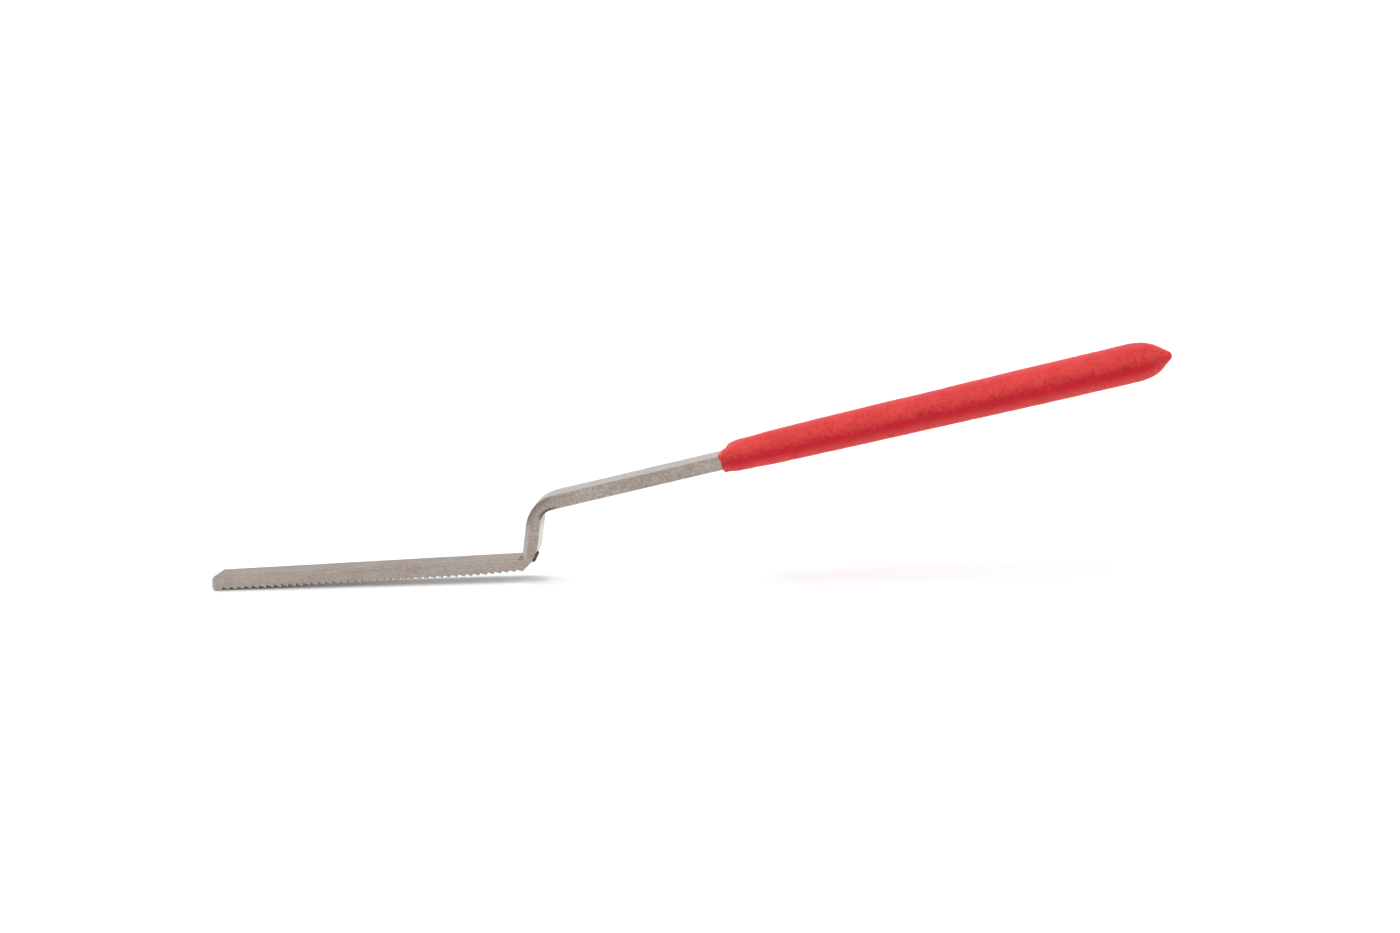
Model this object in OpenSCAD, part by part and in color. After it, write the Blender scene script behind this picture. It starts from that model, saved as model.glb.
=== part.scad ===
// Notched trowel: a narrow notched bar on an offset neck, with a dipped vinyl grip.
// Everything is laid out in the tool's own plane, from the sharp outer corner of the heel,
// with +X towards the handle and +Z up, and then moved so that the origin is under the middle.

/* [Bar stock] */
// Side of the square steel bar that the blade and the shank are cut from
bar_side = 4.7625; // [4:0.0125:6]
// Width of the small flat broken along each long edge of the bar
edge_break = 0.3; // [0.1:0.05:0.5]

/* [Blade] */
// Length of the blade, from the foremost point of its tip to the sharp corner of the heel
blade_length = 111.1; // [60:0.1:160]
// Distance from one tooth to the next
tooth_pitch = 2.54; // [2:0.01:5]
// Depth of each notch
tooth_depth = 1; // [0.5:0.05:1.5]
// Length of the steep side of each tooth, measured along the blade
tooth_steep_run = 0.3; // [0.1:0.05:0.6]
// Shortest plain land between the tip and the first tooth
tip_land = 2.4; // [2:0.1:10]
// Angle by which the end of the blade leans back
tip_lean = 14; // [0:1:30]
// Amount by which the far side of the blade is shorter than the near side
tip_skew = 2; // [0:0.1:4]
// Radius on the lower corner of the tip
tip_radius = 1.1; // [0.4:0.1:1.8]

/* [Heel] */
// How far the sole stops short of the sharp heel corner
heel_back = 4.2; // [3:0.1:5]
// Height of the edge between the two flats that are ground on the heel
heel_edge_height = 3.7; // [3:0.1:4]
// How far that edge lies inside the sharp corner
heel_edge_inset = 1.25; // [0.5:0.05:1.6]
// Height at which the upper flat runs out into the neck
heel_top_height = 7.4; // [6:0.1:9]
// Rise of the weld bead above the upper flat
weld_rise = 0.6; // [0.3:0.05:1]
// Width of the weld bead, from the near side of the bar
weld_width = 2; // [1:0.1:4]
// Radius of the fillet of weld in the inner corner
fillet_radius = 1.2; // [0.6:0.1:2]

/* [Shank] */
// Angle by which the neck leans from upright towards the handle
neck_lean = 20; // [5:1:30]
// Height of the sharp corner where the neck's front and the shank's top would meet
crank_height = 25; // [20:0.1:40]
// Angle at which the shank rises towards the grip
shank_rise = 9.9; // [3:0.1:20]
// Outer radius of the bend between the neck and the shank
bend_radius = 14; // [8:0.5:16]

/* [Grip] */
// Length of bare shank, from the sharp corner of the crank to the first coat of vinyl
bare_length = 70.2; // [40:0.1:100]
// Thickness of the first coat of vinyl
coat_wall = 0.4; // [0.2:0.05:0.6]
// Extra length of bare shank on the underside, where the first coat starts later
coat_slant = 0.3; // [0:0.1:3]
// Length of the first coat that shows in front of the grip
lip_length = 2.7; // [2:0.1:6]
// Wall of the grip just behind its shoulder
grip_wall_front = 1.9; // [1.5:0.05:2.6]
// Wall of the grip near its end
grip_wall_back = 2.85; // [2.6:0.05:3.5]
// How far the thick coat sits above the bar's centreline, as it flowed while it set
grip_lift = 0.3; // [0:0.05:0.5]
// Length of the grip, from its shoulder to the point of the drip
grip_length = 161.2; // [120:0.1:200]
// Length of the drip that hangs past the rounded end
nub_length = 2.6; // [1:0.1:4]
// Vinyl between the end of the shank and the rounded end of the grip
end_cover = 6; // [4:0.1:10]
// Length over which the end of the grip rounds off
end_round = 10; // [8:0.5:14]

/* [Hidden] */

// Smoothness of arcs, and of the sections that are hulled together
arc_steps = 8;
slice_steps = 5;
$fn = 64;
hull_fn = 32;

// A length longer than anything that has to be cut away
past = 40;
// Thickness of the slices that a hull joins
slice = 0.01;
// How far one run of the bar laps into the next
lap = 0.05;

half = bar_side / 2;
turn = 90 - neck_lean - shank_rise;
bend_tangent = bend_radius * tan(turn / 2);

// Directions in the tool's plane, as [x, z]
neck_up = [sin(neck_lean), cos(neck_lean)];
neck_back = [cos(neck_lean), -sin(neck_lean)];
shank_out = [cos(shank_rise), sin(shank_rise)];
shank_down = [sin(shank_rise), -cos(shank_rise)];

// The neck's rear face runs through the sharp heel corner, [0, 0]
function neck_rear(height) = [height * tan(neck_lean), height];
inner_corner = neck_rear(bar_side) - [bar_side / cos(neck_lean), 0];
crank_corner = inner_corner + neck_up * (crank_height - bar_side) / cos(neck_lean);
bend_start = crank_corner - neck_up * bend_tangent;
bend_centre = bend_start + neck_back * bend_radius;

// Flats on the outside of the heel
heel_low = [-heel_back, 0];
heel_mid = neck_rear(heel_edge_height) - [heel_edge_inset, 0];
heel_top = neck_rear(heel_top_height);
upper_flat = heel_top - heel_mid;
upper_flat_length = norm(upper_flat);
upper_flat_angle = atan2(upper_flat[1], upper_flat[0]);
function upper_flat_at(height) = heel_mid + upper_flat * (height - heel_mid[1]) / upper_flat[1];

// Centre of the rounded corner, and where the leaning end would meet the sole without it
tip_centre = [-blade_length + tip_radius, tip_radius];
tip_corner = tip_centre[0] - tip_radius * (1 + sin(tip_lean)) / cos(tip_lean);

// The teeth count back from the heel, and the last tip is the end of the sole
tooth_count = floor((blade_length - heel_back - tip_land) / tooth_pitch) + 1;
function tooth_tip(i) = -heel_back - (tooth_count - 1 - i) * tooth_pitch;

// Distances along the shank, from the corner of the crank
grip_start = bare_length + lip_length;
nub_end = grip_start + grip_length;
body_end = nub_end - nub_length;
shank_length = body_end - end_cover;
coat_end = shank_length + coat_wall;

// The drip's point is the end of the tool
tool_end = crank_corner + shank_out * nub_end + shank_down * half;
mid_x = (tool_end[0] - blade_length) / 2;

steel = [0.66, 0.62, 0.58];
oxide = [0.3, 0.28, 0.26];
vinyl = [0.82, 0.17, 0.19];
vinyl_lip = [0.9, 0.3, 0.32];

// ---- Helpers ----

// Square with its four corners cut off flat
function broken_square(side, cut) =
    let (h = side / 2, k = side / 2 - cut)
    [[h, -k], [h, k], [k, h], [-k, h], [-h, k], [-h, -k], [-k, -h], [k, -h]];

// Puts the tool's plane layout in its final place, with the origin under the middle
module in_place() {
    translate([-mid_x, 0, 0]) children();
}

// Moves to a point of the tool's plane, given as [x, z], and tilts up by an angle
module at_point(p, angle = 0) {
    translate([p[0], 0, p[1]]) rotate([0, -angle, 0]) children();
}

// Turns an outline in the tool's plane into a plate of the given width
module plate(width) {
    rotate([90, 0, 0]) translate([0, 0, -width / 2]) linear_extrude(width) children();
}

// Extrudes a section along +X, with the section's own x and y as Y and Z
module along_x(length) {
    rotate([90, 0, 90]) linear_extrude(length) children();
}

// Straight run of bar along +X, centred on the axis
module bar(length, side = bar_side, cut = edge_break) {
    along_x(length) polygon(broken_square(side, cut));
}

// Everything below a line through a point of the tool's plane, at an angle
module below(p, angle) {
    at_point(p, angle) translate([-past, -past / 2, -past]) cube([2 * past, past, past]);
}

// Places along the shank's centreline, at a distance from the corner of the crank
module on_shank(distance) {
    at_point(crank_corner + shank_down * half + shank_out * distance, shank_rise) children();
}

// ---- Blade ----

// Rounded lower corner of the tip, from the leaning end round to the sole
function tip_arc() = [
    for (i = [0:arc_steps]) let (a = 180 - tip_lean + (90 + tip_lean) * i / arc_steps)
        tip_centre + tip_radius * [cos(a), sin(a)]];

// Each tooth has its steep side towards the handle, so it cuts as the tool is pulled
function teeth() = [
    for (i = [0:tooth_count - 2], p = [[0, 0], [tooth_steep_run, tooth_depth]])
        [tooth_tip(i), 0] + p];

function blade_outline() = concat(
    [[tip_corner + bar_side * tan(tip_lean), bar_side]],
    tip_arc(),
    teeth(),
    [heel_low, heel_mid, upper_flat_at(bar_side)]);

// Takes off the end of the bar at a skew, so that its far side is shorter
module tip_skew_cut() {
    skew = atan(tip_skew / bar_side);
    lean = atan(tan(tip_lean) * cos(skew));
    translate([tip_corner, -half, 0]) rotate([0, 0, 180 - skew]) rotate([0, -lean, 0])
        translate([0, -past / 2, -past / 2]) cube([past, past, past]);
}

module blade() {
    color(steel) in_place() difference() {
        intersection() {
            plate(bar_side) polygon(blade_outline());
            at_point([-blade_length - 1, half]) bar(blade_length + past);
        }
        tip_skew_cut();
    }
}

// ---- Shank ----

// The three runs lie round the bend's centre, and each straight run laps a little into the bend
module neck_run() {
    at_point(bend_centre, 90 - neck_lean) translate([-past, 0, bend_radius - half])
        bar(past + lap);
}

module bend_run() {
    at_point(bend_centre, shank_rise) rotate([90, 0, 0]) rotate([0, 0, 90])
        rotate_extrude(angle = turn) translate([bend_radius - half, 0])
            polygon(broken_square(bar_side, edge_break));
}

module shank_run() {
    at_point(bend_centre, shank_rise) translate([-lap, 0, bend_radius - half])
        bar(shank_length - bend_tangent + lap);
}

// The neck's foot stands on the top of the blade, and shares the blade's upper heel flat
module shank() {
    color(steel) in_place() {
        difference() {
            neck_run();
            below([0, bar_side], 0);
            below(heel_mid, upper_flat_angle);
        }
        bend_run();
        shank_run();
    }
}

// ---- Welds ----

// Low bead over the near end of the seam, on the heel's upper flat
module outer_weld_bead() {
    chord = upper_flat_length;
    radius = chord * chord / (8 * weld_rise) + weld_rise / 2;
    color(oxide) in_place() at_point(heel_mid, upper_flat_angle) intersection() {
        translate([chord / 2, 0, radius - weld_rise]) rotate([90, 0, 0])
            cylinder(r = radius, h = bar_side, center = true);
        translate([0, edge_break - half, -weld_rise]) cube([chord, weld_width, weld_rise]);
    }
}

// Hollow fillet in the corner between the blade's top and the neck
module inner_weld_fillet() {
    corner = (90 + neck_lean) / 2;
    leg = fillet_radius / tan(corner);
    outline = [inner_corner, inner_corner + neck_up * leg, inner_corner - [leg, 0]];
    centre = inner_corner + [-leg, fillet_radius];
    color(steel) in_place() difference() {
        plate(bar_side - 2 * edge_break) polygon(outline);
        at_point(centre) rotate([90, 0, 0])
            cylinder(r = fillet_radius, h = bar_side, center = true);
    }
}

// ---- Grip ----

// First thin coat, which closes over the end of the shank and shows as a lip
module grip_base_coat() {
    side = bar_side + 2 * coat_wall;
    slant = atan(coat_slant / side);
    color(vinyl_lip) in_place() difference() {
        on_shank(bare_length) bar(coat_end - bare_length, side);
        on_shank(bare_length - 1) bar(shank_length - bare_length + 1);
        on_shank(bare_length) translate([0, 0, side / 2]) rotate([0, slant - 90, 0])
            translate([-past, -past / 2, 0]) cube([2 * past, past, past]);
    }
}

// Rounded square section of the grip, as a share of the bar with a wall all round it
module grip_slice(distance, wall, share = 1) {
    thick = (wall * share - coat_wall) / (grip_wall_front - coat_wall);
    lift = grip_lift * min(1, max(0, thick));
    on_shank(distance) translate([0, 0, lift]) along_x(slice)
        offset(r = wall * share, $fn = hull_fn) square(bar_side * share, center = true);
}

// Thick coat: a quick shoulder, a slow swell, a rounded end and a drip
module grip_outside() {
    shoulder = grip_wall_front - coat_wall;
    drip_base = grip_wall_back * 1.4;
    drip_point = nub_length / 5;
    hull() {
        for (i = [0:slice_steps]) let (a = 90 * i / slice_steps)
            grip_slice(grip_start + 2 * shoulder * (1 - cos(a)), coat_wall + shoulder * sin(a));
        for (i = [0:slice_steps]) let (a = 84 * i / slice_steps)
            grip_slice(body_end - end_round * (1 - sin(a)), grip_wall_back, cos(a));
    }
    hull() {
        on_shank(body_end - end_round / 2) sphere(r = drip_base, $fn = hull_fn);
        on_shank(nub_end - drip_point) sphere(r = drip_point, $fn = hull_fn);
    }
}

module grip() {
    color(vinyl) in_place() difference() {
        grip_outside();
        on_shank(grip_start - 1) bar(coat_end - grip_start + 1, bar_side + 2 * coat_wall);
    }
}

blade();
shank();
outer_weld_bead();
inner_weld_fillet();
grip_base_coat();
grip();
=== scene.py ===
"""Notched trowel: a row of teeth cut in a square steel bar, an offset neck, and a dipped vinyl grip.

Every piece is laid out in the tool's own plane, in millimetres, from the sharp corner of the heel:
x runs towards the grip, z up, and y across the bar, with the near side at -y. The mesh builder
then puts the points in the row frame, in metres.
"""

import math
import random

import bmesh
import bpy
from mathutils import Matrix, Vector, noise


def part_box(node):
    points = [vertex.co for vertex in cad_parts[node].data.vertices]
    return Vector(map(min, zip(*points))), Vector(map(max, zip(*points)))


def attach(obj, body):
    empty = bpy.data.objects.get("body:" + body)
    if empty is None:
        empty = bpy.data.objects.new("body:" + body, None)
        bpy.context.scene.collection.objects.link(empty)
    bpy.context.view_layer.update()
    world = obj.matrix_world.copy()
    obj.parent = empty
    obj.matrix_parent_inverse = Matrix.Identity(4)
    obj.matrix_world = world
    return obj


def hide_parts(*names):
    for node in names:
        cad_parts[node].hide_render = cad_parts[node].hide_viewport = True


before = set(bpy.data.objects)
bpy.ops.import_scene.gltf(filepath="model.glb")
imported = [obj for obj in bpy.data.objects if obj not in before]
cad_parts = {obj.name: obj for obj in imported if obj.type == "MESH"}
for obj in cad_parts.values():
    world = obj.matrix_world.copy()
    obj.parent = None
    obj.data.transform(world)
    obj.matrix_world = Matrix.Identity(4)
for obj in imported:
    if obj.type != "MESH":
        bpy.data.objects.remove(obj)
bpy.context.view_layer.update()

MM = 0.001
BODY = "root"
random.seed(7)

# ---- The frame's own sizes, in millimetres ----

blade_low, blade_high = [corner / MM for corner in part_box("blade")]

SIDE = blade_high.y - blade_low.y
HALF = SIDE / 2
BLADE_LENGTH = 111.1
HEEL_X = blade_low.x + BLADE_LENGTH

# ---- Blade and heel ----

TOOTH_PITCH = 2.54
TOOTH_DEPTH = 1.0
SOLE_DROP = 0.35
SOLE_LIFT_AT_HEEL = 0.75
SOLE_LIFT_RUN = 24.0
TOOTH_STEEP_RUN = 0.3
TOOTH_COUNT = 42
TOOTH_WANDER = 0.04
TIP_LEAN = math.radians(14)
TIP_SKEW = 2.0
TIP_RADIUS = 1.1
TIP_ARC_STEPS = 10
TIP_REACH = 0.5
TIP_CHAMFER = Vector((-0.75, -0.85))

HEEL_BACK = 4.2
HEEL_EDGE = Vector((0.097, 3.7))
HEEL_TOP_HEIGHT = 7.4

# ---- Neck, bend and shank ----

NECK_LEAN = math.radians(20)
CRANK_HEIGHT = 25.0
SHANK_RISE = math.radians(9.9)
TURN = math.pi / 2 - NECK_LEAN - SHANK_RISE
OUTER_BEND_RADIUS = 15.6
INNER_BEND_RADIUS = 5.8
BEND_STEPS = 24
BEND_BULGE = 0.2
BEND_PINCH = 0.24
# From the bar's outer face (0) to its inner face (1): the pinch ends at the first share, and the
# bulge has a quarter of its size at the second
PINCH_SHARE = 0.35
BULGE_SHARE = 0.8
EDGE_BREAK = 0.16
FINE_EDGE = 0.05
EDGE_SEGMENTS = 3
# Steeper angles between faces than this, in degrees, show as an edge
SHARP_EDGE = 30
SHARP_BEAD_EDGE = 60
SHARP_VINYL_EDGE = 70

NECK_UP = Vector((math.sin(NECK_LEAN), math.cos(NECK_LEAN)))
NECK_BACK = Vector((math.cos(NECK_LEAN), -math.sin(NECK_LEAN)))
SHANK_OUT = Vector((math.cos(SHANK_RISE), math.sin(SHANK_RISE)))
SHANK_DOWN = Vector((math.sin(SHANK_RISE), -math.cos(SHANK_RISE)))


def neck_rear(height):
    """Point of the neck's rear face at a height. The face runs through the sharp heel corner."""
    return Vector((height * math.tan(NECK_LEAN), height))


INNER_CORNER = neck_rear(SIDE) - Vector((SIDE / math.cos(NECK_LEAN), 0))
CRANK_CORNER = INNER_CORNER + NECK_UP * (CRANK_HEIGHT - SIDE) / math.cos(NECK_LEAN)
HEEL_TOP = neck_rear(HEEL_TOP_HEIGHT)
FLAT_AT_SEAM = HEEL_EDGE.lerp(HEEL_TOP, (SIDE - HEEL_EDGE.y) / (HEEL_TOP.y - HEEL_EDGE.y))

# ---- Grip: distances along the shank from the crank's corner ----

TANG_END = 225.5
COAT_WALL = 0.42
COAT_FRONT = 69.6
COAT_HIDDEN_END = 77.0
# Rounded lip: how far back from the coat's front, and how far out from the bar
COAT_LIP = ((0.0, -0.03), (0.02, 0.12), (0.1, 0.26), (0.28, 0.37), (0.6, COAT_WALL))
COAT_WAVY_RUN = 1.6
COAT_MIDWAY = 4.0
# The wavy front edges of both dips: how far they wander, and a bay in them on the near side
EDGE_WANDER = 0.35
EDGE_WANDER_SCALE = 0.45
EDGE_WANDER_SLICE = 3.1
EDGE_BAY = 0.5
EDGE_BAY_RISE = 0.6
EDGE_BAY_WIDTH = 0.8
GRIP_FRONT = 69.8
GRIP_POINT = 234.6
# The top of the shoulder starts later than its sides, from this share of the grip's half height up
GRIP_LATER = 1.3
GRIP_LATER_FROM = 0.45
# Half the grip's thickness at a few distances: shoulder, slow swell, then the rounded end
GRIP_KEYS = (
    (69.8, 2.7), (69.9, 2.95), (70.2, 3.3), (70.9, 3.6), (71.8, 3.8), (73, 4.03), (75, 4.38), (80, 4.87),
    (90, 5.2), (120, 5.57), (150, 5.73), (180, 6.02), (210, 6.08), (221, 6.06), (225, 5.7),
    (228, 4.9), (230, 3.85), (232, 2.5), (233.3, 1.7), (234.2, 1.05), (234.6, 0.0),
)
GRIP_LIFT_FRONT = 0.45
GRIP_LIFT_BACK = 0.25
GRIP_LIFT_END = -0.05
# Where the lift settles from its front value to its back value, and then to its value at the end
GRIP_LIFT_RUN = (90, 222)
GRIP_LIFT_END_RUN = (220, 229)
GRIP_LIFT_START_RUN = 2
GRIP_SEGMENTS = 72
# Sections stand GRIP_STEP apart, but closer near both ends: GRIP_CLOSEST of it at the very end, and a
# whole GRIP_STEP more for each GRIP_CLOSE_RUN away from there, until it is reached
GRIP_STEP = 0.6
GRIP_CLOSE_RUN = 6
GRIP_CLOSEST = 0.12
GRIP_LAST_GAP = 0.03
GRIP_LEAST = 0.05
# Section: squarer at the shoulder, nearly round behind it, and round at the end
GRIP_EXPONENT = 2.25
GRIP_SQUARE_EXPONENT = 8.0
GRIP_ROUND_EXPONENT = 2
GRIP_SHOULDER_RUN = 12
GRIP_SHOULDER_POWER = 0.35
GRIP_SLANT_RUN = 9
GRIP_ROUND_RUN = (222, 232)
COAT_EXPONENT = GRIP_SQUARE_EXPONENT + 4
# Long waves, ripples and the foam's grain: depth, size along the bar, size round it, and a shift
GRIP_WAVES = ((0.07, 7, 4, 0), (0.05, 2.6, 3, 9), (0.03, 0.9, 0.9, 0))
GRIP_SMOOTH_RUN = 3
# The skin wanders less where the grip's half size is under this
GRIP_FULL_WANDER = 3


# ---- Places ----


def row_point(x, y, z):
    """A point of the tool's layout, in millimetres, as metres in the row frame."""
    return Vector((HEEL_X + x, y, z)) * MM


def on_shank(distance, y, rise):
    """A point at a distance along the shank, off the bar's centreline by y and rise."""
    flat = CRANK_CORNER + SHANK_OUT * distance + SHANK_DOWN * (HALF - rise)
    return Vector((flat.x, y, flat.y))


def smooth_step(low, high, value):
    """0 below low, 1 above high, and a smooth rise between them."""
    share = min(1.0, max(0.0, (value - low) / (high - low)))
    return share * share * (3 - 2 * share)


def between(keys, value):
    """Smooth curve through (place, size) pairs, by Hermite pieces with Catmull-Rom slopes."""
    spots = [k[0] for k in keys]
    sizes = [k[1] for k in keys]
    i = max(0, min(len(keys) - 2, sum(1 for s in spots if s <= value) - 1))
    run = spots[i + 1] - spots[i]
    slopes = []
    for j in (i, i + 1):
        a, b = max(0, j - 1), min(len(keys) - 1, j + 1)
        slopes.append((sizes[b] - sizes[a]) / (spots[b] - spots[a]))
    t = (value - spots[i]) / run
    rise = sizes[i + 1] - sizes[i]
    bend = (3 * rise / run - 2 * slopes[0] - slopes[1]) * t * t
    twist = (slopes[0] + slopes[1] - 2 * rise / run) * t * t * t
    return sizes[i] + (slopes[0] * t + bend + twist) * run


# ---- Mesh builder ----


class Solid:
    """Collects points and faces of one closed piece, with a laid-out coordinate for each point."""

    def __init__(self):
        self.points = []
        self.laid = []
        self.faces = []
        self.weights = {}

    def point(self, place, laid):
        """Adds a point of the tool's layout, and where it lies on the straightened bar."""
        self.points.append(row_point(*place))
        self.laid.append(Vector(laid) * MM)
        return len(self.points) - 1

    def weigh(self, a, b, width):
        """Asks for a rounded edge of that width, in millimetres, between two points."""
        self.weights[frozenset((a, b))] = width

    def loop_weights(self, ring, width):
        """Asks for the same rounding on every edge of a closed ring."""
        for a, b in zip(ring, ring[1:] + ring[:1]):
            self.weigh(a, b, width)

    def bridge(self, ring, following):
        """Faces between two rings of equal length."""
        count = len(ring)
        for i in range(count):
            j = (i + 1) % count
            self.faces.append((ring[i], ring[j], following[j], following[i]))

    def tube(self, rings):
        """Skin over a row of rings, closed by a face on the first and on the last."""
        for ring, following in zip(rings, rings[1:]):
            self.bridge(ring, following)
        self.faces.append(rings[0])
        self.faces.append(rings[-1])

    def build(self, name, widest=0.0, sharp=SHARP_EDGE):
        """Makes the object, with outward faces and its edges rounded by a bevel."""
        mesh = bpy.data.meshes.new(name)
        mesh.from_pydata([tuple(p) for p in self.points], [], self.faces)
        laid = mesh.attributes.new("laid", "FLOAT_VECTOR", "POINT")
        for i, place in enumerate(self.laid):
            laid.data[i].vector = place
        shape = bmesh.new()
        shape.from_mesh(mesh)
        bmesh.ops.recalc_face_normals(shape, faces=shape.faces)
        for face in shape.faces:
            face.smooth = True
        for edge in shape.edges:
            rounded = self.weights.get(frozenset(v.index for v in edge.verts), 0)
            edge.smooth = bool(rounded) or edge.calc_face_angle(0) < math.radians(sharp)
        shape.to_mesh(mesh)
        shape.free()
        piece = bpy.data.objects.new(name, mesh)
        bpy.context.scene.collection.objects.link(piece)
        if widest:
            marks = mesh.attributes.new("bevel_weight_edge", "FLOAT", "EDGE")
            for edge in mesh.edges:
                width = self.weights.get(frozenset(edge.vertices), 0.0)
                marks.data[edge.index].value = width / widest
            bevel = piece.modifiers.new("rounded_edges", "BEVEL")
            bevel.limit_method = "WEIGHT"
            bevel.width = widest * MM
            bevel.segments = EDGE_SEGMENTS
            bevel.use_clamp_overlap = False
            bevel.harden_normals = True
        return piece


# ---- Blade ----


def sole_height(x):
    """Height of the teeth's tips: level for most of the blade, and a little higher near the heel."""
    return -SOLE_DROP + SOLE_LIFT_AT_HEEL * smooth_step(-SOLE_LIFT_RUN, 0, x)


def tip_arc():
    """Rounded lower corner of the tip, from the leaning end round to the sole."""
    centre = Vector((-BLADE_LENGTH - TIP_REACH + TIP_RADIUS, TIP_RADIUS - SOLE_DROP))
    start = math.pi - TIP_LEAN
    span = math.pi / 2 + TIP_LEAN
    angles = [start + span * i / TIP_ARC_STEPS for i in range(TIP_ARC_STEPS + 1)]
    return [centre + TIP_RADIUS * Vector((math.cos(a), math.sin(a))) for a in angles]


def teeth():
    """Tip and root of each tooth but the last, whose tip ends the sole."""
    points = []
    for i in range(TOOTH_COUNT - 1):
        wander = random.uniform(-TOOTH_WANDER, TOOTH_WANDER)
        depth = TOOTH_DEPTH + random.uniform(-TOOTH_WANDER, TOOTH_WANDER)
        x = -HEEL_BACK - (TOOTH_COUNT - 1 - i) * TOOTH_PITCH + wander
        points.append(Vector((x, sole_height(x))))
        points.append(Vector((x + TOOTH_STEEP_RUN, sole_height(x) + depth)))
    return points


def make_blade():
    """The near and far outlines differ only at the tip, which is cut off at a skew and chamfered."""
    arc = tip_arc()
    rise = SIDE + TIP_CHAMFER.y - arc[0].y
    chamfer_foot = arc[0] + Vector((rise * math.tan(TIP_LEAN), rise))
    tip = [chamfer_foot - TIP_CHAMFER, chamfer_foot] + arc
    heel = [Vector((-HEEL_BACK, sole_height(-HEEL_BACK))), HEEL_EDGE, FLAT_AT_SEAM, INNER_CORNER]
    outline = tip + teeth() + heel
    solid = Solid()
    rings = []
    for y, shift in ((-HALF, 0), (HALF, TIP_SKEW)):
        ring = []
        for i, p in enumerate(outline):
            x = p.x + (shift if i < len(tip) else 0)
            ring.append(solid.point((x, y, p.y), (x, y, p.y - HALF)))
        rings.append(ring)
    near, far = rings
    solid.faces.append(near)
    solid.faces.append(far)
    solid.bridge(near, far)
    count = len(outline)
    for ring in rings:
        solid.loop_weights(ring, FINE_EDGE)
        for i in range(len(tip)):
            solid.weigh(ring[i], ring[i + 1], EDGE_BREAK / 2)
        solid.weigh(ring[count - 4], ring[count - 3], EDGE_BREAK / 2)
        solid.weigh(ring[count - 3], ring[count - 2], EDGE_BREAK / 3)
        solid.weigh(ring[count - 2], ring[count - 1], 0)
        solid.weigh(ring[count - 1], ring[0], EDGE_BREAK)
    for i in range(len(tip), count - 2):
        solid.weigh(near[i], far[i], FINE_EDGE)
    solid.weigh(near[0], far[0], EDGE_BREAK / 2)
    return solid.build("blade_notched", widest=EDGE_BREAK)


# ---- Shank ----


def bend_arc(corner, radius, steps):
    """Points of an arc that joins the neck's line and the shank's line, which meet at a corner."""
    start = corner - NECK_UP * radius * math.tan(TURN / 2)
    centre = start + NECK_BACK * radius
    spoke = start - centre
    points = []
    for i in range(steps + 1):
        angle = -TURN * i / steps
        turned = Vector((
            spoke.x * math.cos(angle) - spoke.y * math.sin(angle),
            spoke.x * math.sin(angle) + spoke.y * math.cos(angle),
        ))
        points.append(centre + turned)
    return points


def bar_station(solid, out, inn, along, swell):
    """Points round the bar, from its outer near edge. At the bend it is pinched outside, swollen inside."""
    near = (
        (0.0, HALF - BEND_PINCH * swell),
        (PINCH_SHARE, HALF),
        (BULGE_SHARE, HALF + BEND_BULGE * swell / 4),
        (1.0, HALF + BEND_BULGE * swell),
    )
    ring = []
    for side, places in ((-1, near), (1, near[::-1])):
        for share, half_width in places:
            flat = out.lerp(inn, share)
            laid = (along, side * HALF, HALF - share * SIDE)
            ring.append(solid.point((flat.x, side * half_width, flat.y), laid))
    return ring


def shank_outline():
    """Outer point, inner point, distance along the bar and share of the bend's swell, at each station."""
    inner_crank = CRANK_CORNER + (NECK_BACK - NECK_UP * math.tan(TURN / 2)) * SIDE
    tang = CRANK_CORNER + SHANK_OUT * TANG_END
    outer = [INNER_CORNER, INNER_CORNER + NECK_UP * (HEEL_TOP_HEIGHT - SIDE)]
    outer += bend_arc(CRANK_CORNER, OUTER_BEND_RADIUS, BEND_STEPS) + [tang]
    inner = [FLAT_AT_SEAM, HEEL_TOP]
    inner += bend_arc(inner_crank, INNER_BEND_RADIUS, BEND_STEPS) + [tang + SHANK_DOWN * SIDE]
    stations = []
    along = 0.0
    for i, (out, inn) in enumerate(zip(outer, inner)):
        if i:
            along += ((out + inn) / 2 - (outer[i - 1] + inner[i - 1]) / 2).length
        bend_share = (i - 2) / BEND_STEPS
        swell = math.sin(math.pi * bend_share) if 0 < bend_share < 1 else 0.0
        stations.append((out, inn, along, swell))
    return stations


OUTLINE = shank_outline()
BEND_FROM = OUTLINE[2][2]
BEND_TO = OUTLINE[2 + BEND_STEPS][2]


def make_shank():
    """The bar from its foot on the blade, over the bend, to the tang's end inside the grip."""
    solid = Solid()
    stations = [bar_station(solid, *station) for station in OUTLINE]
    solid.tube(stations)
    # A station's points 0 and 7 lie on the outer edges of the bar, and 3 and 4 on the inner edges
    for ring, following in zip(stations, stations[1:]):
        for k in (0, 3, 4, 7):
            solid.weigh(ring[k], following[k], EDGE_BREAK)
    foot, above_flat = stations[0], stations[1]
    for k in (3, 4):
        solid.weigh(foot[k], above_flat[k], EDGE_BREAK / 3)
    solid.weigh(above_flat[3], above_flat[4], FINE_EDGE)
    return solid.build("shank_bent_bar", widest=EDGE_BREAK)


# ---- Welds ----

BEAD_RISE = 0.8
BEAD_SINK = 0.25
BEAD_WIDTH = 1.5
BEAD_PROUD = 0.12
BEAD_OVERRUN = 0.35
BEAD_SHORTER = 0.25
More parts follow.
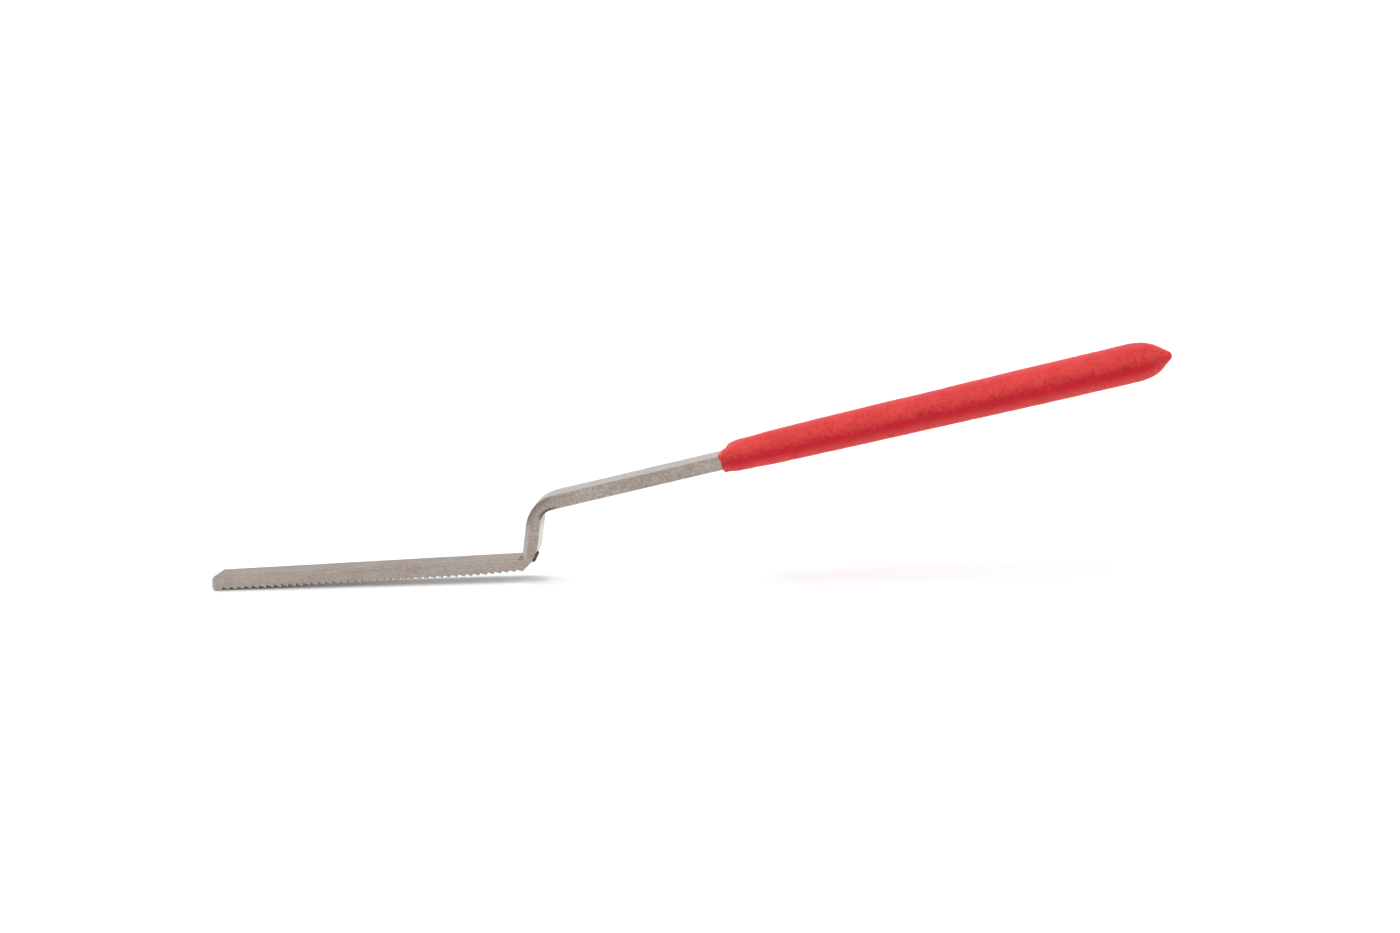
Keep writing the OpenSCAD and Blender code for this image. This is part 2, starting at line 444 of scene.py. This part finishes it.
# Shares of the bead's length over which its two ends are rounded, and its smallest size there
BEAD_LOW_END = 0.2
BEAD_HIGH_END = 0.07
BEAD_LEAST = 0.02
BEAD_LUMP = 0.22
BEAD_LUMP_SCALE = 1.3
BEAD_RIPPLE = 0.06
BEAD_RIPPLE_PITCH = 0.7
BEAD_RINGS = 30
BEAD_SEGMENTS = 18
FILLET_RADIUS = 1.7
FILLET_STEPS = 8
FILLET_SINK = 0.35
FILLET_PROUD = 0.015


def rounded_off(share):
    """Rises from 0 to 1 as a quarter circle does, and stays at 1."""
    return (1 - (1 - min(1, share)) ** 2) ** 0.5


def make_bead():
    """A short lumpy run of weld metal along the near end of the seam, blunt at its upper end."""
    solid = Solid()
    run = HEEL_TOP - HEEL_EDGE
    ahead = run.normalized()
    outward = Vector((ahead.y, -ahead.x))
    centre_y = -HALF + BEAD_WIDTH / 2 - BEAD_PROUD
    rings = []
    for i in range(BEAD_RINGS + 1):
        share = i / BEAD_RINGS
        along = -BEAD_OVERRUN + (run.length - BEAD_SHORTER) * share
        low_end = rounded_off(share / BEAD_LOW_END)
        high_end = rounded_off((1 - share) / BEAD_HIGH_END)
        size = max(BEAD_LEAST, low_end * high_end)
        ring = []
        for k in range(BEAD_SEGMENTS):
            angle = 2 * math.pi * k / BEAD_SEGMENTS
            spot = Vector((along * BEAD_LUMP_SCALE, math.cos(angle), math.sin(angle)))
            lump = 1 + BEAD_LUMP * noise.noise(spot)
            lump += BEAD_RIPPLE * math.cos(along * 2 * math.pi / BEAD_RIPPLE_PITCH)
            across = math.cos(angle) * BEAD_WIDTH / 2 * (0.7 + 0.3 * size) * lump
            rise = math.sin(angle) * size * lump
            rise *= BEAD_RISE if rise > 0 else BEAD_SINK
            flat = HEEL_EDGE + ahead * along + outward * rise
            place = (flat.x, centre_y + across * size ** 0.3, flat.y)
            ring.append(solid.point(place, (along, across, rise)))
        rings.append(ring)
    solid.tube(rings)
    return solid.build("outer_weld_bead_lumpy", sharp=SHARP_BEAD_EDGE)


def make_fillet():
    """Hollow weld fillet in the corner between the blade's top and the neck."""
    corner = (math.pi / 2 + NECK_LEAN) / 2
    leg = FILLET_RADIUS / math.tan(corner)
    centre = INNER_CORNER + Vector((-leg, FILLET_RADIUS))
    start = -math.pi / 2
    span = math.pi / 2 - NECK_LEAN
    sunk = INNER_CORNER + (NECK_BACK + Vector((0, -1))) * FILLET_SINK
    outline = [INNER_CORNER + Vector((-leg - FILLET_SINK, -FILLET_SINK))]
    for i in range(FILLET_STEPS + 1):
        a = start + span * i / FILLET_STEPS
        outline.append(centre + FILLET_RADIUS * Vector((math.cos(a), math.sin(a))))
    outline.append(INNER_CORNER + NECK_UP * (leg + FILLET_SINK) + NECK_BACK * FILLET_SINK)
    outline.append(sunk)
    solid = Solid()
    rings = []
    for y in (-HALF - FILLET_PROUD, HALF + FILLET_PROUD):
        rings.append([solid.point((p.x, y, p.y), (p.x, y, p.y)) for p in outline])
    solid.faces.append(rings[0])
    solid.faces.append(rings[1])
    solid.bridge(*rings)
    for ring in rings:
        for i in range(1, FILLET_STEPS + 1):
            solid.weigh(ring[i], ring[i + 1], EDGE_BREAK * 0.8)
    return solid.build("inner_weld_fillet_hollow", widest=EDGE_BREAK)


# ---- Grip ----


def superellipse(half_size, exponent, segments):
    """Section between a circle, at exponent 2, and a square, at a high exponent."""
    points = []
    for k in range(segments):
        angle = 2 * math.pi * (k + 0.5) / segments
        c, s = math.cos(angle), math.sin(angle)
        reach = (abs(c) ** exponent + abs(s) ** exponent) ** (-1 / exponent)
        points.append((half_size * reach * c, half_size * reach * s))
    return points


def coat_edge(y, rise):
    """How far a dip's front edge wanders along the bar, at a place round it. y < 0 is the near side."""
    bay = EDGE_BAY * math.exp(-((rise - EDGE_BAY_RISE) / EDGE_BAY_WIDTH) ** 2) if y < 0 else 0.0
    spot = Vector((y * EDGE_WANDER_SCALE, rise * EDGE_WANDER_SCALE, EDGE_WANDER_SLICE))
    return bay + EDGE_WANDER * noise.noise(spot)


def make_coat():
    """Thin first dip: a sleeve with a wavy front edge that swells over the bar."""
    solid = Solid()
    length = COAT_HIDDEN_END - COAT_FRONT
    profile = list(COAT_LIP)
    profile += [(back, COAT_WALL) for back in (COAT_WAVY_RUN, COAT_MIDWAY, length)]
    rings = []
    for back, wall in profile:
        ring = []
        fade = 1 - smooth_step(COAT_WAVY_RUN, length, back)
        for y, rise in superellipse(HALF + wall, COAT_EXPONENT, GRIP_SEGMENTS):
            distance = COAT_FRONT + back + coat_edge(y, rise) * fade
            ring.append(solid.point(on_shank(distance, y, rise), (distance, y, rise)))
        rings.append(ring)
    solid.tube(rings)
    return solid.build("grip_base_coat_lip", sharp=SHARP_VINYL_EDGE)


def grip_stations():
    """Close together where the shoulder and the rounded end curve quickly."""
    stations = []
    distance = GRIP_FRONT
    while distance < GRIP_POINT - GRIP_LAST_GAP:
        stations.append(distance)
        from_end = min(distance - GRIP_FRONT, GRIP_POINT - distance)
        distance += GRIP_STEP * min(1.0, GRIP_CLOSEST + from_end / GRIP_CLOSE_RUN)
    return stations


def grip_skin(distance, y, rise):
    """How far the vinyl's surface wanders in or out: long waves, and the grain of the foam."""
    wander = 0.0
    for depth, along, across, shift in GRIP_WAVES:
        spot = Vector((distance / along, y / across, rise / across + shift))
        wander += depth * noise.noise(spot)
    return wander * smooth_step(GRIP_FRONT, GRIP_FRONT + GRIP_SMOOTH_RUN, distance)


def make_grip():
    """Thick outer dip, squarer at its shoulder, with a swell and a pointed drip at its end."""
    solid = Solid()
    rings = []
    for distance in grip_stations():
        half_size = max(GRIP_LEAST, between(GRIP_KEYS, distance))
        thick = smooth_step(GRIP_FRONT, GRIP_FRONT + GRIP_SHOULDER_RUN, distance)
        towards_round = GRIP_EXPONENT - GRIP_SQUARE_EXPONENT
        exponent = GRIP_SQUARE_EXPONENT + towards_round * thick ** GRIP_SHOULDER_POWER
        exponent += (GRIP_ROUND_EXPONENT - exponent) * smooth_step(*GRIP_ROUND_RUN, distance)
        back_share = smooth_step(*GRIP_LIFT_RUN, distance)
        lift = GRIP_LIFT_FRONT + (GRIP_LIFT_BACK - GRIP_LIFT_FRONT) * back_share
        lift += (GRIP_LIFT_END - GRIP_LIFT_BACK) * smooth_step(*GRIP_LIFT_END_RUN, distance)
        lift *= smooth_step(GRIP_FRONT, GRIP_FRONT + GRIP_LIFT_START_RUN, distance)
        slant = 1 - smooth_step(GRIP_FRONT, GRIP_FRONT + GRIP_SLANT_RUN, distance)
        ring = []
        for y, rise in superellipse(half_size, exponent, GRIP_SEGMENTS):
            out = 1 + grip_skin(distance, y, rise) / half_size * min(1, half_size / GRIP_FULL_WANDER)
            later = GRIP_LATER * smooth_step(GRIP_LATER_FROM, 1.0, rise / half_size)
            edge = (coat_edge(y, rise) + later) * slant
            place = on_shank(distance + edge, y * out, rise * out + lift)
            ring.append(solid.point(place, (distance, y, rise)))
        rings.append(ring)
    for ring, following in zip(rings, rings[1:]):
        solid.bridge(ring, following)
    solid.faces.append(rings[0])
    point = solid.point(on_shank(GRIP_POINT, 0, lift), (GRIP_POINT, 0, 0))
    last = rings[-1]
    for a, b in zip(last, last[1:] + last[:1]):
        solid.faces.append((a, b, point))
    return solid.build("grip_vinyl", sharp=SHARP_VINYL_EDGE)


# ---- Materials ----


class Paint:
    """Short calls that add and join the nodes of one material."""

    def __init__(self, name):
        self.material = bpy.data.materials.new(name)
        self.material.use_nodes = True
        self.tree = self.material.node_tree
        self.tree.nodes.clear()
        self.shader = self.tree.nodes.new("ShaderNodeBsdfPrincipled")
        output = self.tree.nodes.new("ShaderNodeOutputMaterial")
        self.join(self.shader.outputs["BSDF"], output.inputs["Surface"])

    def join(self, source, target):
        """Links an output to an input."""
        self.tree.links.new(source, target)

    def feed(self, socket, value):
        """Links a socket to another, or sets its number or colour."""
        if isinstance(value, bpy.types.NodeSocket):
            self.join(value, socket)
        else:
            socket.default_value = value

    def laid(self):
        """Coordinates along the straightened bar, in metres."""
        node = self.tree.nodes.new("ShaderNodeAttribute")
        node.attribute_name = "laid"
        return node.outputs["Vector"]

    def placed(self):
        """Coordinates in the row frame, in metres."""
        return self.tree.nodes.new("ShaderNodeTexCoord").outputs["Object"]

    def stretched(self, vector, scale):
        """Coordinates scaled on each axis. A scale under 1 draws the pattern out along that axis."""
        node = self.tree.nodes.new("ShaderNodeMapping")
        node.inputs["Scale"].default_value = scale
        self.join(vector, node.inputs["Vector"])
        return node.outputs["Vector"]

    def noise(self, vector, scale, detail=4.0, roughness=0.55):
        """Noise whose features are 1/scale metres across, from 0 to 1."""
        node = self.tree.nodes.new("ShaderNodeTexNoise")
        node.inputs["Scale"].default_value = scale
        node.inputs["Detail"].default_value = detail
        node.inputs["Roughness"].default_value = roughness
        self.join(vector, node.inputs["Vector"])
        return node.outputs["Fac"]

    def maths(self, operation, a, b=0.0):
        """One sum on sockets or numbers. Operations on one value leave b out."""
        node = self.tree.nodes.new("ShaderNodeMath")
        node.operation = operation
        self.feed(node.inputs[0], a)
        self.feed(node.inputs[1], b)
        return node.outputs["Value"]

    def spread(self, value, low, high, to_low=0.0, to_high=1.0):
        """Maps a range of a value to another range, and holds it there."""
        node = self.tree.nodes.new("ShaderNodeMapRange")
        node.interpolation_type = "SMOOTHSTEP"
        for name, given in (("Value", value), ("From Min", low), ("From Max", high)):
            self.feed(node.inputs[name], given)
        node.inputs["To Min"].default_value = to_low
        node.inputs["To Max"].default_value = to_high
        return node.outputs["Result"]

    def around(self, value, centre, full, none):
        """1 while a value is within one distance of a centre, falling to 0 at a larger distance."""
        off_centre = self.maths("ABSOLUTE", self.maths("SUBTRACT", value, centre))
        return self.spread(off_centre, full, none, 1.0, 0.0)

    def mix(self, share, a, b):
        """Colour between a, at a share of 0, and b, at 1."""
        node = self.tree.nodes.new("ShaderNodeMix")
        node.data_type = "RGBA"
        self.feed(node.inputs["Factor"], share)
        self.feed(node.inputs["A"], a)
        self.feed(node.inputs["B"], b)
        return node.outputs["Result"]

    def parts(self, vector):
        """The three numbers of a vector."""
        node = self.tree.nodes.new("ShaderNodeSeparateXYZ")
        self.join(vector, node.inputs["Vector"])
        return node.outputs["X"], node.outputs["Y"], node.outputs["Z"]

    def bump(self, height, depth, strength, under=None):
        """Bump of the given depth in metres, laid over another bump if there is one."""
        node = self.tree.nodes.new("ShaderNodeBump")
        node.inputs["Strength"].default_value = strength
        node.inputs["Distance"].default_value = depth
        self.join(height, node.inputs["Height"])
        if under is not None:
            self.join(under, node.inputs["Normal"])
        return node.outputs["Normal"]

    def finish(self, colour, roughness, normal, **fixed):
        """Feeds the shader, and sets its other inputs by name, with _ for a space."""
        self.feed(self.shader.inputs["Base Color"], colour)
        self.feed(self.shader.inputs["Roughness"], roughness)
        self.join(normal, self.shader.inputs["Normal"])
        for name, value in fixed.items():
            self.shader.inputs[name.replace("_", " ")].default_value = value
        return self.material


def edge_mask(paint, laid, width):
    """1 along the bar's long edges, falling to 0 a width away from them."""
    _, y, rise = paint.parts(laid)
    across = paint.maths("ABSOLUTE", y)
    up = paint.maths("ABSOLUTE", rise)
    nearest = paint.maths("MINIMUM", across, up)
    return paint.spread(nearest, (HALF - width) * MM, HALF * MM)


STEEL = (0.36, 0.312, 0.28, 1)
STEEL_WARM = (0.31, 0.255, 0.22, 1)
STEEL_DARK = (0.235, 0.19, 0.165, 1)
STEEL_PALE = (0.47, 0.43, 0.405, 1)
STEEL_WORN = (0.46, 0.43, 0.41, 1)
# Painted highlight on the bar's outer and inner faces and up the neck's front
STEEL_PAINTED_HIGHLIGHT = (0.50, 0.475, 0.455, 1)
# Painted shade over the outer half of the bend
STEEL_BEND_SHADE = (0.20, 0.182, 0.169, 1)
STEEL_CREASE = (0.12, 0.085, 0.065, 1)
# Painted reflection on the neck's rear face
STEEL_PAINTED_REFLECTION = (0.66, 0.635, 0.615, 1)
# How much of each tone shows where it is strongest
BEND_SHADE_SHARE = 0.8
CREASE_SHARE = 0.95
NECK_FRONT_HIGHLIGHT_SHARE = 0.5
FACE_HIGHLIGHT_SHARE = 0.62
REAR_REFLECTION_SHARE = 0.6
# In millimetres: how far the crease's middle lies past the bend's, and the fade of the neck's painted
# highlight and reflection
CREASE_SHIFT = 1.5
NECK_FADE_RUN = 3
# Depths under a face, in millimetres, where that face's painted highlight, and the rear face's painted
# reflection, start and end
FACE_FULL = 0.01
FACE_NONE = 0.12


def bend_marks(paint, laid, colour):
    """Painted shade, greyer, over the outer half of the bend, brown in the crease inside it, and a painted
    highlight up the neck's front.

    The outer and inner faces carry a painted highlight, paler than the sides, and the neck's rear face a
    painted reflection, the palest.
    """
    along, _, rise = paint.parts(laid)
    centre = (BEND_FROM + BEND_TO) / 2 * MM
    reach = (BEND_TO - BEND_FROM) / 2 * MM
    bent = paint.around(along, centre, reach * 0.5, reach * 1.15)
    # Painted shade, greyer, over the outer half of the bend
    bend_shade = paint.spread(rise, -0.2 * MM, 1.5 * MM, 0.0, BEND_SHADE_SHARE)
    colour = paint.mix(paint.maths("MULTIPLY", bent, bend_shade), colour, STEEL_BEND_SHADE)
    pressed = paint.around(along, centre + CREASE_SHIFT * MM, reach * 0.6, reach * 1.3)
    inner_edge = paint.spread(rise, -1.9 * MM, -1.0 * MM, CREASE_SHARE, 0.0)
    colour = paint.mix(paint.maths("MULTIPLY", pressed, inner_edge), colour, STEEL_CREASE)
    on_neck = paint.spread(along, (BEND_FROM - NECK_FADE_RUN) * MM, BEND_FROM * MM, 1.0, 0.0)
    # Painted highlight up the outer half of the neck
    front_highlight = paint.spread(rise, 0.2 * MM, 1.6 * MM, 0.0, NECK_FRONT_HIGHLIGHT_SHARE)
    colour = paint.mix(paint.maths("MULTIPLY", on_neck, front_highlight), colour, STEEL_PAINTED_HIGHLIGHT)
    off_middle = paint.maths("ABSOLUTE", rise)
    # Painted highlight on the bar's outer and inner faces, paler than its sides
    faces = paint.spread(off_middle, (HALF - FACE_NONE) * MM, (HALF - FACE_FULL) * MM, 0.0, FACE_HIGHLIGHT_SHARE)
    colour = paint.mix(faces, colour, STEEL_PAINTED_HIGHLIGHT)
    # Painted reflection: the neck's rear face is the palest
    rear_reflection = paint.spread(rise, (FACE_FULL - HALF) * MM, (FACE_NONE - HALF) * MM, REAR_REFLECTION_SHARE, 0.0)
    return paint.mix(paint.maths("MULTIPLY", on_neck, rear_reflection), colour, STEEL_PAINTED_REFLECTION)


def steel(name, streaks, mottling, roughness, bent=False, tarnish=0.0):
    """Bare bar steel: lengthwise brushing, a sandy mottling and paler worn edges."""
    paint = Paint(name)
    laid = paint.laid()
    placed = paint.placed()
    broad = paint.noise(paint.stretched(laid, (0.35, 1, 1)), 160, detail=3)
    brushed = paint.noise(paint.stretched(laid, (0.03, 1, 1)), 3200, detail=3, roughness=0.6)
    hair = paint.noise(paint.stretched(laid, (0.012, 1, 1)), 9000, detail=2)
    sand = paint.noise(placed, 1500, detail=4, roughness=0.65)
    colour = paint.mix(paint.spread(broad, 0.35, 0.65), STEEL, STEEL_WARM)
    colour = paint.mix(paint.spread(sand, 0.5, 0.62, 0, mottling), colour, STEEL_PALE)
    colour = paint.mix(paint.spread(sand, 0.5, 0.38, 0, mottling), colour, STEEL_DARK)
    colour = paint.mix(paint.spread(brushed, 0.5, 0.72, 0, streaks), colour, STEEL_PALE)
    colour = paint.mix(paint.spread(brushed, 0.5, 0.28, 0, streaks), colour, STEEL_WARM)
    worn = paint.maths("MULTIPLY", edge_mask(paint, laid, 0.5), paint.spread(sand, 0.3, 0.6, 0.3, 0.8))
    colour = paint.mix(worn, colour, STEEL_WORN)
    if bent:
        colour = bend_marks(paint, laid, colour)
    colour = paint.mix(tarnish, colour, STEEL_CREASE)
    rough = paint.spread(brushed, 0.3, 0.7, roughness - 0.05, roughness + 0.06)
    normal = paint.bump(sand, 0.04 * MM, 0.25)
    normal = paint.bump(brushed, 0.03 * MM, 0.35 * streaks, normal)
    normal = paint.bump(hair, 0.01 * MM, 0.5 * streaks, normal)
    return paint.finish(colour, rough, normal, Metallic=1.0)


OXIDE_BLACK = (0.06, 0.052, 0.05, 1)
OXIDE_RUST = (0.16, 0.07, 0.055, 1)
OXIDE_GREY = (0.17, 0.155, 0.15, 1)


def weld_oxide():
    """Dark scale on the bead, with patches of rust brown and grey flakes."""
    paint = Paint("weld_scale")
    placed = paint.placed()
    flakes = paint.noise(placed, 1400, detail=5, roughness=0.7)
    patches = paint.noise(placed, 420, detail=2)
    colour = paint.mix(paint.spread(patches, 0.45, 0.6), OXIDE_BLACK, OXIDE_RUST)
    colour = paint.mix(paint.spread(flakes, 0.5, 0.75, 0, 0.6), colour, OXIDE_GREY)
    normal = paint.bump(flakes, 0.15 * MM, 0.7)
    return paint.finish(colour, 0.55, normal, Metallic=0.6)


VINYL = (0.68, 0.058, 0.056, 1)
# Painted shade on the grip's crown
VINYL_CROWN_SHADE = (0.55, 0.048, 0.048, 1)
# Painted shade along each side of the grip
VINYL_SIDE_SHADE = (0.62, 0.012, 0.025, 1)
VINYL_DEEP = (0.40, 0.006, 0.014, 1)
VINYL_PALE = (0.70, 0.075, 0.068, 1)
# Where the painted side shade, a deep red band along each side, has its middle: 0 is level with the bar's
# own middle
SIDE_SHADE_SLOPE = -0.03
# The painted side shade fades over this run of the grip's end, to this share of the paler red
SIDE_SHADE_FADE_RUN = (226.0, 232.0)
SIDE_SHADE_FADE_SHARE = 0.8


def vinyl(name, grain, roughness, sheen):
    """Red vinyl with a matte sandy skin, and painted shade: deepest red along its sides, and a little
    darker on its crown.
    """
    paint = Paint(name)
    placed = paint.placed()
    along, y, rise = paint.parts(paint.laid())
    cloud = paint.noise(placed, 190, detail=3)
    blotch = paint.noise(placed, 800, detail=3, roughness=0.6)
    sand = paint.noise(placed, 2200, detail=4, roughness=0.6)
    squares = paint.maths("ADD", paint.maths("POWER", y, 2.0), paint.maths("POWER", rise, 2.0))
    slope = paint.maths("DIVIDE", rise, paint.maths("SQRT", squares))
    fine = paint.maths("MULTIPLY", paint.maths("SUBTRACT", sand, 0.5), 1.2 * grain)
    coarse = paint.maths("MULTIPLY", paint.maths("SUBTRACT", blotch, 0.5), 0.7 * grain)
    speckled = paint.maths("ADD", slope, paint.maths("ADD", fine, coarse))
    off_side = paint.maths("ABSOLUTE", paint.maths("SUBTRACT", speckled, SIDE_SHADE_SLOPE))
    fade_from, fade_to = [place * MM for place in SIDE_SHADE_FADE_RUN]
    at_end = paint.spread(along, fade_from, fade_to, 0.0, SIDE_SHADE_FADE_SHARE)
    paler = paint.maths("MAXIMUM", paint.spread(off_side, 0.06, 0.5), at_end)
    # Painted shade along each side, fading out at the grip's end
    colour = paint.mix(paler, VINYL_SIDE_SHADE, VINYL)
    # Painted shade: the crown a little darker
    colour = paint.mix(paint.spread(slope, 0.65, 1.0), colour, VINYL_CROWN_SHADE)
    colour = paint.mix(paint.spread(cloud, 0.3, 0.7, 0, 0.25), colour, VINYL_DEEP)
    colour = paint.mix(paint.spread(sand, 0.52, 0.7, 0, grain * 0.4), colour, VINYL_PALE)
    colour = paint.mix(paint.spread(sand, 0.48, 0.3, 0, grain * 0.6), colour, VINYL_DEEP)
    colour = paint.mix(paint.spread(blotch, 0.46, 0.34, 0, grain * 0.45), colour, VINYL_DEEP)
    rough = paint.spread(sand, 0.3, 0.7, roughness - 0.06, roughness + 0.06)
    normal = paint.bump(blotch, 0.08 * MM, 0.5 * grain)
    normal = paint.bump(sand, 0.09 * MM, grain, normal)
    fixed = {"Specular_IOR_Level": 0.12, "Sheen_Weight": sheen, "Sheen_Roughness": 0.5}
    return paint.finish(colour, rough, normal, **fixed)


FLOOR_DIM = (0.84, 0.84, 0.84, 1)
FLOOR_PALE = (0.86, 0.86, 0.86, 1)


def floor_paint():
    """Plain pale board with a barely visible grain."""
    paint = Paint("pale_floor")
    fine = paint.noise(paint.placed(), 40, detail=3)
    colour = paint.mix(fine, FLOOR_DIM, FLOOR_PALE)
    normal = paint.bump(fine, 0.1 * MM, 0.05)
    return paint.finish(colour, 0.9, normal, Specular_IOR_Level=0.1)


# ---- Stage, light and camera ----

# In metres, but for LOOK_AT and LOOK_SHIFT, which are in the tool's millimetres
FLOOR_REACH = 12.0
FLOOR_TILT = math.radians(1.62)
CAMERA_AZIMUTH = math.radians(26.1)
CAMERA_ELEVATION = math.radians(24.2)
CAMERA_ROLL = math.radians(14.57)
CAMERA_WIDTH = 0.44374
CAMERA_DISTANCE = 3.0
LOOK_AT = Vector((65.9, -HALF, 33.8))
LOOK_SHIFT = 0.158
LIGHT_DISTANCE = 1.6
# Fades of the surroundings along a direction's z or y: from, to, and the values at both
GLOW_BY_HEIGHT = (0.2, 0.5, 2.05, 0.8)
HAZE_AT_HORIZON = (0.04, 0.18, 0.45, 1.0)
DARK_IN_FRONT = (-0.6, 0.1, 0.85, 0.0)
DARK_BELOW_TOP = (0.35, 0.75, 1.0, 0.0)


def make_floor():
    """Wide flat sheet that touches the tip's sole and falls away very slightly under the heel."""
    touch = row_point(-BLADE_LENGTH - TIP_REACH + TIP_RADIUS, 0, -SOLE_DROP)
    mesh = bpy.data.meshes.new("floor")
    corners = [(-1, -1), (1, -1), (1, 1), (-1, 1)]
    points = []
    for x, y in corners:
        height = -x * FLOOR_REACH * math.tan(FLOOR_TILT)
        points.append(touch + Vector((x * FLOOR_REACH, y * FLOOR_REACH, height)))
    mesh.from_pydata([tuple(p) for p in points], [], [(0, 1, 2, 3)])
    floor = bpy.data.objects.new("floor", mesh)
    bpy.context.scene.collection.objects.link(floor)
    floor.data.materials.append(floor_paint())


def make_world():
    """White surroundings: brightest a little above the horizon, darker overhead and on the near side."""
    world = bpy.data.worlds.new("studio")
    bpy.context.scene.world = world
    world.use_nodes = True
    nodes, links = world.node_tree.nodes, world.node_tree.links
    nodes.clear()
    place = nodes.new("ShaderNodeTexCoord")
    split = nodes.new("ShaderNodeSeparateXYZ")
    glow = nodes.new("ShaderNodeBackground")
    glow.inputs["Color"].default_value = (1, 1, 1, 1)
    output = nodes.new("ShaderNodeOutputWorld")
    links.new(place.outputs["Generated"], split.inputs["Vector"])

    def faded(source, low, high, at_low, at_high):
        fade = nodes.new("ShaderNodeMapRange")
        fade.interpolation_type = "SMOOTHSTEP"
        settings = {"From Min": low, "From Max": high, "To Min": at_low, "To Max": at_high}
        for name, value in settings.items():
            fade.inputs[name].default_value = value
        links.new(source, fade.inputs["Value"])
        return fade.outputs["Result"]

    def combined(operation, a, b):
        node = nodes.new("ShaderNodeMath")
        node.operation = operation
        links.new(a, node.inputs[0])
        links.new(b, node.inputs[1])
        return node.outputs["Value"]

    high = faded(split.outputs["Z"], *GLOW_BY_HEIGHT)
    haze = faded(split.outputs["Z"], *HAZE_AT_HORIZON)
    height = combined("MULTIPLY", high, haze)
    in_front = faded(split.outputs["Y"], *DARK_IN_FRONT)
    low = faded(split.outputs["Z"], *DARK_BELOW_TOP)
    dark = combined("MULTIPLY", in_front, low)
    lost = combined("MULTIPLY", dark, height)
    links.new(combined("SUBTRACT", height, lost), glow.inputs["Strength"])
    links.new(glow.outputs["Background"], output.inputs["Surface"])


def make_light(name, direction, size, radiance):
    """Square soft box that faces the tool, given by the brightness of its face."""
    lamp = bpy.data.lights.new(name, "AREA")
    lamp.shape = "SQUARE"
    lamp.size = size
    lamp.energy = radiance * math.pi * size * size
    light = bpy.data.objects.new(name, lamp)
    bpy.context.scene.collection.objects.link(light)
    toward = Vector(direction).normalized()
    light.location = toward * LIGHT_DISTANCE
    light.rotation_mode = "QUATERNION"
    light.rotation_quaternion = toward.to_track_quat("Z", "Y")
    light.visible_camera = False
    light.visible_glossy = False


def make_camera():
    """Distant view from the near side, above and to the right, rolled as the tool was shot."""
    back = Vector((
        math.sin(CAMERA_AZIMUTH) * math.cos(CAMERA_ELEVATION),
        -math.cos(CAMERA_AZIMUTH) * math.cos(CAMERA_ELEVATION),
        math.sin(CAMERA_ELEVATION),
    ))
    level_right = Vector((math.cos(CAMERA_AZIMUTH), math.sin(CAMERA_AZIMUTH), 0))
    level_up = back.cross(level_right)
    right = level_right * math.cos(CAMERA_ROLL) - level_up * math.sin(CAMERA_ROLL)
    up = level_right * math.sin(CAMERA_ROLL) + level_up * math.cos(CAMERA_ROLL)
    aim = row_point(*LOOK_AT) + (up - right) * LOOK_SHIFT * MM
    data = bpy.data.cameras.new("camera")
    data.type = "ORTHO"
    data.ortho_scale = CAMERA_WIDTH
    camera = bpy.data.objects.new("camera", data)
    bpy.context.scene.collection.objects.link(camera)
    turn = Matrix((right, up, back)).transposed().to_4x4()
    camera.matrix_world = Matrix.Translation(aim + back * CAMERA_DISTANCE) @ turn
    bpy.context.scene.camera = camera


# ---- The pieces, and the CAD nodes that they stand for ----


def settle(piece, node, material):
    """Gives a piece its material and its body, and hides the CAD node that it stands for."""
    piece.data.materials.append(material)
    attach(piece, BODY)
    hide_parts(node)


make_camera()
blade_steel = steel("blade_brushed_steel", streaks=0.55, mottling=0.35, roughness=0.36)
shank_steel = steel("shank_bar_steel", streaks=0.4, mottling=0.6, roughness=0.42, bent=True)
settle(make_blade(), "blade", blade_steel)
settle(make_shank(), "shank", shank_steel)
settle(make_bead(), "outer_weld_bead", weld_oxide())
fillet_steel = steel("fillet_tarnished_steel", streaks=0.1, mottling=0.6, roughness=0.5, tarnish=0.55)
settle(make_fillet(), "inner_weld_fillet", fillet_steel)
first_dip = vinyl("vinyl_first_dip", grain=0.35, roughness=0.5, sheen=0.03)
settle(make_coat(), "grip_base_coat", first_dip)
foam = vinyl("vinyl_foam", grain=0.8, roughness=0.62, sheen=0.04)
settle(make_grip(), "grip", foam)

make_floor()
make_world()
make_light("soft_box_overhead", (-0.03, 0.1, 1.0), size=0.7, radiance=11.6)
make_light("soft_box_in_front", (-0.1, -0.6, 0.8), size=1.6, radiance=0.4)
bpy.context.scene.view_settings.view_transform = "Standard"
